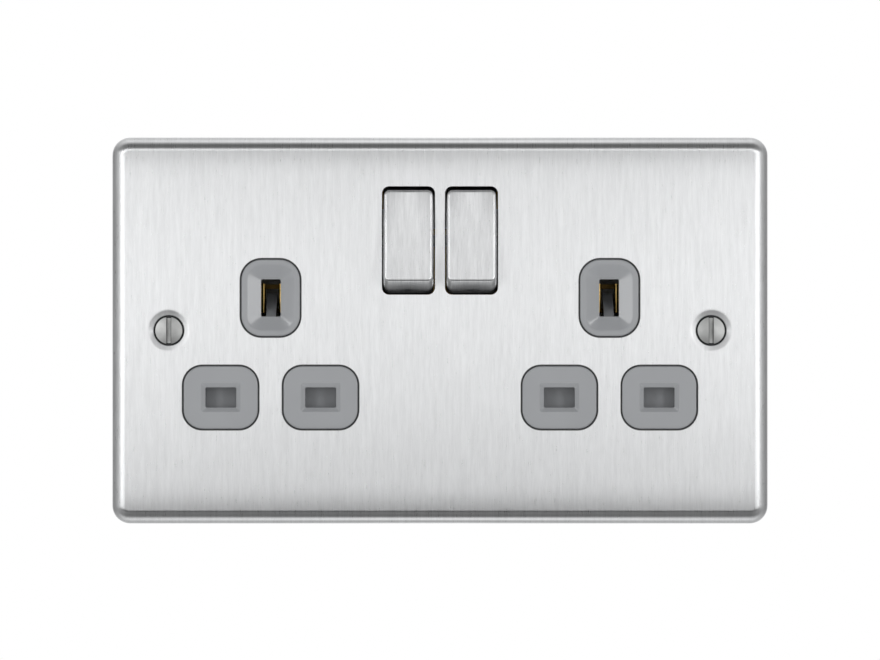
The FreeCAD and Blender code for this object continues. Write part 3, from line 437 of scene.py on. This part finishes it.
def helix_tree():
    """A geometry tree with named inputs that carries a section along a helix."""
    tree = bpy.data.node_groups.new("helix", "GeometryNodeTree")
    sockets = {}
    for title, kind in (("Turns", "NodeSocketFloat"), ("Coil Radius", "NodeSocketFloat"),
                        ("Wire Radius", "NodeSocketFloat"), ("Length", "NodeSocketFloat"),
                        ("Flat Turns", "NodeSocketFloat"), ("Sides", "NodeSocketInt"),
                        ("Points Per Turn", "NodeSocketInt"), ("Material", "NodeSocketMaterial")):
        sockets[title] = tree.interface.new_socket(title, in_out="INPUT", socket_type=kind).identifier
    tree.interface.new_socket("Geometry", in_out="OUTPUT", socket_type="NodeSocketGeometry")
    given = add(tree, "NodeGroupInput").outputs
    ring = add(tree, "GeometryNodeCurveSpiral", {
        "Resolution": given["Points Per Turn"], "Rotations": given["Turns"],
        "Start Radius": given["Coil Radius"], "End Radius": given["Coil Radius"], "Height": 0.0})
    along = add(tree, "GeometryNodeSplineParameter").outputs["Factor"]
    rise = add(tree, "ShaderNodeMath", {0: given["Flat Turns"], 1: given["Turns"]}, operation="DIVIDE")
    level = add(tree, "ShaderNodeMath", {0: 1.0, 1: rise}, operation="SUBTRACT")
    top = add(tree, "ShaderNodeMath", {0: given["Length"], 1: given["Wire Radius"]}, operation="SUBTRACT")
    lift = add(tree, "ShaderNodeMapRange", {
        "Value": along, "From Min": rise, "From Max": level,
        "To Min": given["Wire Radius"], "To Max": top})
    raised = add(tree, "GeometryNodeSetPosition", {
        "Geometry": ring, "Offset": add(tree, "ShaderNodeCombineXYZ", {2: lift})})
    section = add(tree, "GeometryNodeCurvePrimitiveCircle", {
        "Resolution": given["Sides"], "Radius": given["Wire Radius"]})
    swept = add(tree, "GeometryNodeCurveToMesh", {
        "Curve": raised, "Profile Curve": section, "Fill Caps": True})
    real = add(tree, "GeometryNodeRealizeInstances", {0: swept})
    add(tree, "NodeGroupOutput", {
        0: add(tree, "GeometryNodeSetMaterial", {0: real, "Material": given["Material"]})})
    return tree, sockets


helix, helix_sockets = helix_tree()
print("helix inputs:", list(helix_sockets))

# %% [markdown]
# ## From tree to plain mesh
#
# The tree runs once as a modifier on an empty mesh. Its inputs are set by their identifiers,
# the evaluated result is copied into a plain mesh, and the helper object goes. A matrix then
# puts the mesh in its place, so the finished piece stands at the origin like every other.

# %% Turn the helix into a piece


def helix_piece(name, placement, material, **sizes):
    """A plain mesh object from the helix tree, with its place in its mesh."""
    blank = bpy.data.objects.new(name + "_blank", bpy.data.meshes.new(name + "_blank"))
    bpy.context.collection.objects.link(blank)
    modifier = blank.modifiers.new("helix", "NODES")
    modifier.node_group = helix
    for title, value in sizes.items():
        modifier[helix_sockets[title.replace("_", " ").title()]] = value
    modifier[helix_sockets["Material"]] = material
    bpy.context.view_layer.update()
    mesh = bpy.data.meshes.new_from_object(blank.evaluated_get(bpy.context.evaluated_depsgraph_get()))
    bpy.data.objects.remove(blank)
    mesh.name = name
    mesh.transform(placement)
    mesh.shade_smooth()
    piece = bpy.data.objects.new(name, mesh)
    bpy.context.collection.objects.link(piece)
    return piece


def along_axis(start, axis):
    """A matrix that takes the Z axis onto an axis and the origin onto a start."""
    return Matrix.Translation(start) @ Vector(axis).to_track_quat("Z", "Y").to_matrix().to_4x4()


print("Z turned onto Y:", [round(v, 3) for v in along_axis((0, 0, 0), (0, 1, 0)).col[2][:3]])

# %% [markdown]
# ## Return springs under the shutters
#
# When an earth pin pushes a shutter down, a small coil of music wire under it is squeezed, and
# it lifts the shutter again when the plug leaves. The coil takes the place of the plain one in
# the frame.

# %% Shutter springs
HANDS = ("left", "right")
WIRE_SIDES, COIL_POINTS, CLOSED_TURNS = 8, 28, 0.5
SHUTTER_WIRE, SHUTTER_TURNS = 0.15 * MM, 6
for hand in HANDS:
    node = "shutter_spring_" + hand
    low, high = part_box(node)
    foot = Vector(((low.x + high.x) / 2, (low.y + high.y) / 2, low.z))
    length = high.z - low.z
    spring = helix_piece("shutter_coil_" + hand, along_axis(foot, (0, 0, 1)), spring_wire,
                         turns=SHUTTER_TURNS, coil_radius=(high.x - low.x) / 2 - SHUTTER_WIRE,
                         wire_radius=SHUTTER_WIRE, length=length, flat_turns=CLOSED_TURNS,
                         sides=WIRE_SIDES, points_per_turn=COIL_POINTS)
    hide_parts(node)
    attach(spring, "socket")
    joint = f"shutter_{hand}_slide"
    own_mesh(spring)

# %% [markdown]
# ## Plunger springs inside the rockers
#
# Each rocker hides a second coil in its stem. It pushes a round-nosed plunger along the seesaw
# contact, and that is what makes the switch snap over. The coil leans with the rocker, so its
# box is a tilted cylinder's: the length along the axis follows from the box's depth once the
# width of the coil is taken off.

# %% Plunger springs
PLUNGER_WIRE, PLUNGER_TURNS = 0.16 * MM, 5
for hand in HANDS:
    node = "rocker_spring_" + hand
    joint = f"plunger_{hand}_slide"
    axis = Vector(next(j["axis"] for j in frame["joints"] if j["name"] == joint))
    low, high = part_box(node)
    outer_r = (high.x - low.x) / 2
    length = (high.y - low.y - 2 * outer_r * abs(axis.z)) / abs(axis.y)
    seat = (low + high) / 2 + axis * length / 2
    spring = helix_piece("plunger_coil_" + hand, along_axis(seat, -axis), spring_wire,
                         turns=PLUNGER_TURNS, coil_radius=outer_r - PLUNGER_WIRE,
                         wire_radius=PLUNGER_WIRE, length=length, flat_turns=CLOSED_TURNS,
                         sides=WIRE_SIDES, points_per_turn=COIL_POINTS)
    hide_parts(node)
    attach(spring, "rocker_" + hand)
    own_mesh(spring)

# %% [markdown]
# ## Threads on the fixing screws
#
# The two long screws go into the wall box, so most of their length is rolled thread. The frame
# has the plain shank, and here a fine ridge runs round it. The section is a square that stands
# on its corner, with its middle just inside the steel, which leaves a low ridge with sloping
# sides.

# %% Fixing screw threads
THREAD_PITCH, THREAD_RIDGE, THREAD_SINK = 0.6 * MM, 0.17 * MM, 0.25
THREAD_SIDES, THREAD_POINTS = 4, 20
SHANK_R, PLAIN_NECK, POINT = 1.75 * MM, 3.9 * MM, 0.7 * MM
for hand in HANDS:
    low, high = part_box("fixing_screw_" + hand)
    start = Vector(((low.x + high.x) / 2, low.y + PLAIN_NECK, (low.z + high.z) / 2))
    length = high.y - POINT - start.y
    ridge = helix_piece("fixing_thread_" + hand, along_axis(start, (0, 1, 0)), nickel,
                        turns=length / THREAD_PITCH, coil_radius=SHANK_R - THREAD_RIDGE * THREAD_SINK,
                        wire_radius=THREAD_RIDGE, length=length, flat_turns=0.0, sides=THREAD_SIDES,
                        points_per_turn=THREAD_POINTS)
    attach(ridge, "socket")
    print(ridge.name, "turns:", round(length / THREAD_PITCH), "faces:", len(ridge.data.polygons))

# %% [markdown]
# ## Rolled lips on the earth clips
#
# The leaves of an earth clip end in a bead, where the strip is rolled over so that the corner
# of a pin can't catch its edge. Seen through the slot, that bead is the thin gold line beside
# the ramp. It could be a curve with a bevel, but a curve gives a round rod. Here a path starts
# inside the leaf's front end and goes round the roll, and two lines half a thickness to each
# side of it make the outline of a bent strip, which is then as tall as the leaf.

# %% A strip bent along a path
SHARP_ANGLE = math.radians(40)


def strip_bent(name, path, thick, low_z, high_z, material):
    """Strip of one thickness that follows a path across X and Y, from one height to another."""
    sides = [[], []]
    for i, point in enumerate(path):
        ahead = (path[min(i + 1, len(path) - 1)] - path[max(i - 1, 0)]).normalized()
        across = Vector((-ahead.y, ahead.x)) * thick / 2
        sides[0].append(point + across)
        sides[1].append(point - across)
    outline = sides[0] + sides[1][::-1]
    count, last = len(outline), len(path) - 1
    corners = [(p.x, p.y, z) for z in (low_z, high_z) for p in outline]
    faces = [(i, (i + 1) % count, count + (i + 1) % count, count + i) for i in range(count)]
    for i in range(last):
        end = (i, i + 1, count - 2 - i, count - 1 - i)
        faces += [end[::-1], tuple(count + corner for corner in end)]
    mesh = bpy.data.meshes.new(name)
    mesh.from_pydata(corners, [], faces)
    sheet = bmesh.new()
    sheet.from_mesh(mesh)
    bmesh.ops.recalc_face_normals(sheet, faces=sheet.faces)
    sheet.to_mesh(mesh)
    sheet.free()
    mesh.shade_smooth()
    mesh.set_sharp_from_angle(angle=SHARP_ANGLE)
    mesh.materials.append(material)
    piece = bpy.data.objects.new(name, mesh)
    bpy.context.collection.objects.link(piece)
    return piece


print("a bend is drawn sharp above", round(math.degrees(SHARP_ANGLE)), "degrees")

# %% [markdown]
# ## Two lips in each earth slot
#
# The roll is a small open circle of strip. The strip leans in from the leaf, then rolls round
# by the front, past the side that meets the pin and back, through most of a turn. The two
# lips of a clip are mirror images about the slot's middle, at the height of the leaves.

# %% Earth clip lips
LIP_R, LIP_STRIP, LIP_STEPS = 0.4 * MM, 0.18 * MM, 16
LIP_START, LIP_END = math.radians(-60), math.radians(-340)
LIP_OUT, LEAF_OUT, LIP_Y = 1.9 * MM, 3.05 * MM, 1.05 * MM
LIP_MIDDLE_Z, LIP_LENGTH = 7.25 * MM, 6.5 * MM
leaf_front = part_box("earth_bar")[0].y
turns = [LIP_START + (LIP_END - LIP_START) * step / LIP_STEPS for step in range(LIP_STEPS + 1)]
middle_r = LIP_R - LIP_STRIP / 2
for hand in HANDS:
    shutter_low, shutter_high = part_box("shutter_" + hand)
    outlet_x = (shutter_low.x + shutter_high.x) / 2
    for edge, edge_name in ((-1, "left"), (1, "right")):
        path = [Vector((outlet_x + edge * LEAF_OUT, leaf_front + LIP_STRIP))]
        path += [Vector((outlet_x + edge * (LIP_OUT + middle_r * math.cos(turn)),
                         LIP_Y + middle_r * math.sin(turn))) for turn in turns]
        lip = strip_bent(f"earth_bead_{hand}_{edge_name}", path, LIP_STRIP,
                         LIP_MIDDLE_Z - LIP_LENGTH / 2, LIP_MIDDLE_Z + LIP_LENGTH / 2, bead_brass)
        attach(lip, "socket")
print("leaf's front in mm:", round(leaf_front / MM, 2), "lip at:", round(LIP_Y / MM, 2))

# %% [markdown]
# ## The camera
#
# The photograph looks straight at the plate from about a metre with a long lens, so the
# sides of the plate don't show. The lens length follows from the distance and from the
# width that the picture covers at the plate's front.

# %% Camera
CAMERA_DISTANCE, SENSOR_MM = 0.95, 36.0
PICTURE_PIXELS, PIXELS_PER_MM = 880, 4.50
PICTURE_WIDTH = PICTURE_PIXELS / PIXELS_PER_MM * MM
CENTRE_RISE = 0.11 * MM
camera_data = bpy.data.cameras.new("camera")
camera_data.sensor_width = SENSOR_MM
camera_data.lens = SENSOR_MM * CAMERA_DISTANCE / PICTURE_WIDTH
camera_data.clip_start, camera_data.clip_end = 0.01, 20.0
camera = bpy.data.objects.new("camera", camera_data)
camera.location = (0.0, plate_low.y - CAMERA_DISTANCE, CENTRE_RISE)
camera.rotation_euler = (math.radians(90), 0, 0)
bpy.context.collection.objects.link(camera)
bpy.context.scene.camera = camera
print("lens in mm:", round(camera_data.lens, 1))

# %% [markdown]
# ## A panel whose brightness follows its height
#
# Steel shows whatever stands round it, so a product photographer builds its brightness out of
# panels. A lamp object gives one even brightness. A glowing sheet can have a gradient from
# foot to top instead, and the steel shows that gradient. The camera doesn't see the sheet.

# %% Helpers for light


def ramp(tree, field, stops, ease="EASE"):
    """A brightness that follows a field through stops of (field value, brightness)."""
    first, last = stops[0][0], stops[-1][0]
    share = add(tree, "ShaderNodeMapRange", {"Value": field, "From Min": first, "From Max": last})
    node = add(tree, "ShaderNodeValToRGB", {0: share})
    node.color_ramp.interpolation = ease
    elements = node.color_ramp.elements
    while len(elements) < len(stops):
        elements.new(0.5)
    for element, (value, _) in zip(elements, stops):
        element.position = (value - first) / (last - first)
    for element, (_, brightness) in zip(elements, stops):
        element.color = (brightness, brightness, brightness, 1.0)
    return node


def panel(name, centre, half_w, half_h, strength, stops):
    """An upright glowing panel that faces the plate, with a brightness that follows its height."""
    x, y, z = centre
    corners = [(x + sx * half_w, y, z + sz * half_h) for sx, sz in ((-1, -1), (1, -1), (1, 1), (-1, 1))]
    mesh = bpy.data.meshes.new(name)
    mesh.from_pydata(corners, [], [(0, 3, 2, 1)])
    material, tree = new_material(name)
    place = add(tree, "ShaderNodeTexCoord").outputs["Object"]
    height = add(tree, "ShaderNodeSeparateXYZ", {0: place}).outputs[2]
    glow = add(tree, "ShaderNodeEmission", {"Color": ramp(tree, height, stops), "Strength": strength})
    add(tree, "ShaderNodeOutputMaterial", {"Surface": glow})
    mesh.materials.append(material)
    light = bpy.data.objects.new(name, mesh)
    bpy.context.collection.objects.link(light)
    light.visible_camera = False


print("light helpers ready:", ramp.__name__, panel.__name__)

# %% [markdown]
# ## Three panels in front
#
# The main panel stands half a metre in front of the plate. It is brightest a little above the
# middle and dies away up and down, and that draws the soft fall of light from the centre of
# the plate to its top and foot. A second bright band higher up is what the tilted rockers see.
# Two narrow strong strips further out put the bright line along each rolled side, along the
# rockers' edges and on the sloping sides of the earth slots.

# %% Light panels
PANEL_Y, PANEL_HALF_H = plate_low.y - 0.49, 0.30
MAIN_HALF_W, MAIN_STRENGTH = 0.28, 1.27
STRIP_X, STRIP_HALF_W, STRIP_STRENGTH = 0.35, 0.09, 4.9
main_stops = (
    (-0.30, 0.03), (-0.20, 0.04), (-0.14, 0.12), (-0.09, 0.32), (-0.055, 0.54), (-0.02, 0.78),
    (0.02, 0.9), (0.06, 0.70), (0.10, 0.36), (0.14, 0.24), (0.18, 0.42), (0.215, 0.95), (0.26, 1.0),
    (0.28, 0.2), (0.30, 0.03))
strip_stops = ((-0.26, 0.0), (-0.14, 0.6), (0.0, 0.8), (0.16, 0.8), (0.22, 1.0), (0.29, 1.0), (0.30, 0.0))
panel("main_panel", (0.0, PANEL_Y, 0.0), MAIN_HALF_W, PANEL_HALF_H, MAIN_STRENGTH, main_stops)
for side in (-1, 1):
    panel(f"side_strip_{side + 1}", (side * STRIP_X, PANEL_Y, 0.0), STRIP_HALF_W, PANEL_HALF_H,
          STRIP_STRENGTH, strip_stops)
print("panels at y in mm:", round(PANEL_Y / MM))

# %% [markdown]
# ## The room round it
#
# Beyond the panels the room is a world shader made from the direction of each ray. Two angles
# describe it: how far it climbs from straight ahead, and how far it turns aside. It is dark
# from 36 to 64 degrees up and from 40 to 62 degrees down, which draws the dark line along the
# plate's top and foot, and bright straight up and down, which draws the thin bright line
# beyond it. It darkens towards the sides and is bright again behind. The camera itself sees
# plain white, as in the photograph.

# %% World
ROOM_STRENGTH = 1.2
world = bpy.data.worlds.new("studio")
bpy.context.scene.world = world
world.use_nodes = True
room = world.node_tree
room.nodes.clear()
ray = add(room, "ShaderNodeTexCoord").outputs["Generated"]
ray_x, ray_y, ray_z = add(room, "ShaderNodeSeparateXYZ", {0: ray}).outputs
forward = add(room, "ShaderNodeMath", {0: ray_y, 1: -1.0}, operation="MULTIPLY")
aside = add(room, "ShaderNodeMath", {0: ray_x}, operation="ABSOLUTE")
climb = add(room, "ShaderNodeMath", {0: ray_z, 1: forward}, operation="ARCTAN2")
turned = add(room, "ShaderNodeMath", {0: aside, 1: forward}, operation="ARCTAN2")
climb_stops = [(math.radians(angle), brightness) for angle, brightness in (
    (-180, 1.1), (-142, 0.6), (-122, 0.38), (-106, 0.62), (-99, 0.95), (-88, 1.0), (-80, 0.7), (-72, 0.28),
    (-62, 0.09), (-48, 0.12), (-40, 0.07), (-25, 0.2), (0, 0.5), (28, 0.2), (36, 0.06), (64, 0.07),
    (73, 0.2), (82, 0.5), (90, 1.0), (108, 0.95), (121, 0.55), (136, 0.7), (150, 0.8), (180, 1.1))]
turn_stops = [(math.radians(angle), brightness) for angle, brightness in (
    (0, 0.7), (30, 0.75), (42, 0.5), (55, 0.4), (70, 0.4), (90, 0.3), (110, 0.24), (125, 0.22),
    (145, 0.5), (180, 1.1))]
print("stops up and down:", len(climb_stops), "stops to the side:", len(turn_stops))

# %% [markdown]
# ## One brightness from two angles
#
# A ray that leaves straight up or down reads the first list, a ray to the side reads the
# second, and between them the two are mixed by how much of the ray's slant is sideways.

# %% Mix the room and show it
squares = add(room, "ShaderNodeVectorMath", {0: ray, 1: ray}, operation="MULTIPLY")
square_x, _, square_z = add(room, "ShaderNodeSeparateXYZ", {0: squares}).outputs
slant = add(room, "ShaderNodeMath", {0: square_x, 1: square_z}, operation="ADD")
sideways = add(room, "ShaderNodeMath", {0: square_x, 1: slant}, operation="DIVIDE")
glow = add(room, "ShaderNodeMix", {
    "Factor": sideways, 6: ramp(room, climb, climb_stops, "LINEAR"),
    7: ramp(room, turned, turn_stops, "LINEAR")}, data_type="RGBA").outputs[2]
seen = add(room, "ShaderNodeLightPath").outputs["Is Camera Ray"]
studio = add(room, "ShaderNodeBackground", {"Color": glow, "Strength": ROOM_STRENGTH})
plain = add(room, "ShaderNodeBackground", {"Color": colour("FFFFFF"), "Strength": 1.0})
chosen = add(room, "ShaderNodeMixShader", {0: seen, 1: studio, 2: plain})
add(room, "ShaderNodeOutputWorld", {"Surface": chosen})
bpy.context.scene.view_settings.view_transform = "Standard"
print("world nodes:", len(room.nodes))

# %% [markdown]
# ## A pale floor
#
# The socket hangs on its wall, so the studio floor is well below it, out of the photograph's
# view. It shows from above, and it throws a soft light up at the underside. It is matt card
# that glows faintly, as if lit by lamps that aren't there, so it stays pale in every view. It
# is kept out of the steel's reflections, where the room's own bright line belongs.

# %% Floor
FLOOR_DROP, FLOOR_HALF, CARD_GLOW, FIBRE_MM = 0.45, 4.0, 0.22, 6.0
floor_mesh = bpy.data.meshes.new("floor")
floor_mesh.from_pydata([(sx * FLOOR_HALF, sy * FLOOR_HALF, -FLOOR_DROP)
                        for sx, sy in ((-1, -1), (1, -1), (1, 1), (-1, 1))], [], [(0, 1, 2, 3)])
# Uncoated card: paper fibres give it a barely mottled white and no shine.
card, card_tree = new_material("pale_card")
fibres = grain(card_tree, (FIBRE_MM,) * 3, detail=3.0, roughness=0.6)
matt = add(card_tree, "ShaderNodeBsdfPrincipled", {
    "Base Color": two_tone(card_tree, fibres, NOISE_LOW, NOISE_HIGH, "F4F4F3", "F8F8F7"),
    "Roughness": 0.9,
    "Specular IOR Level": 0.2,
    "Emission Color": colour("FFFFFF"),
    "Emission Strength": CARD_GLOW})
add(card_tree, "ShaderNodeOutputMaterial", {"Surface": matt})
floor_mesh.materials.append(card)
floor = bpy.data.objects.new("floor", floor_mesh)
bpy.context.collection.objects.link(floor)
floor.visible_glossy = False
print("floor below the origin in mm:", round(FLOOR_DROP / MM))
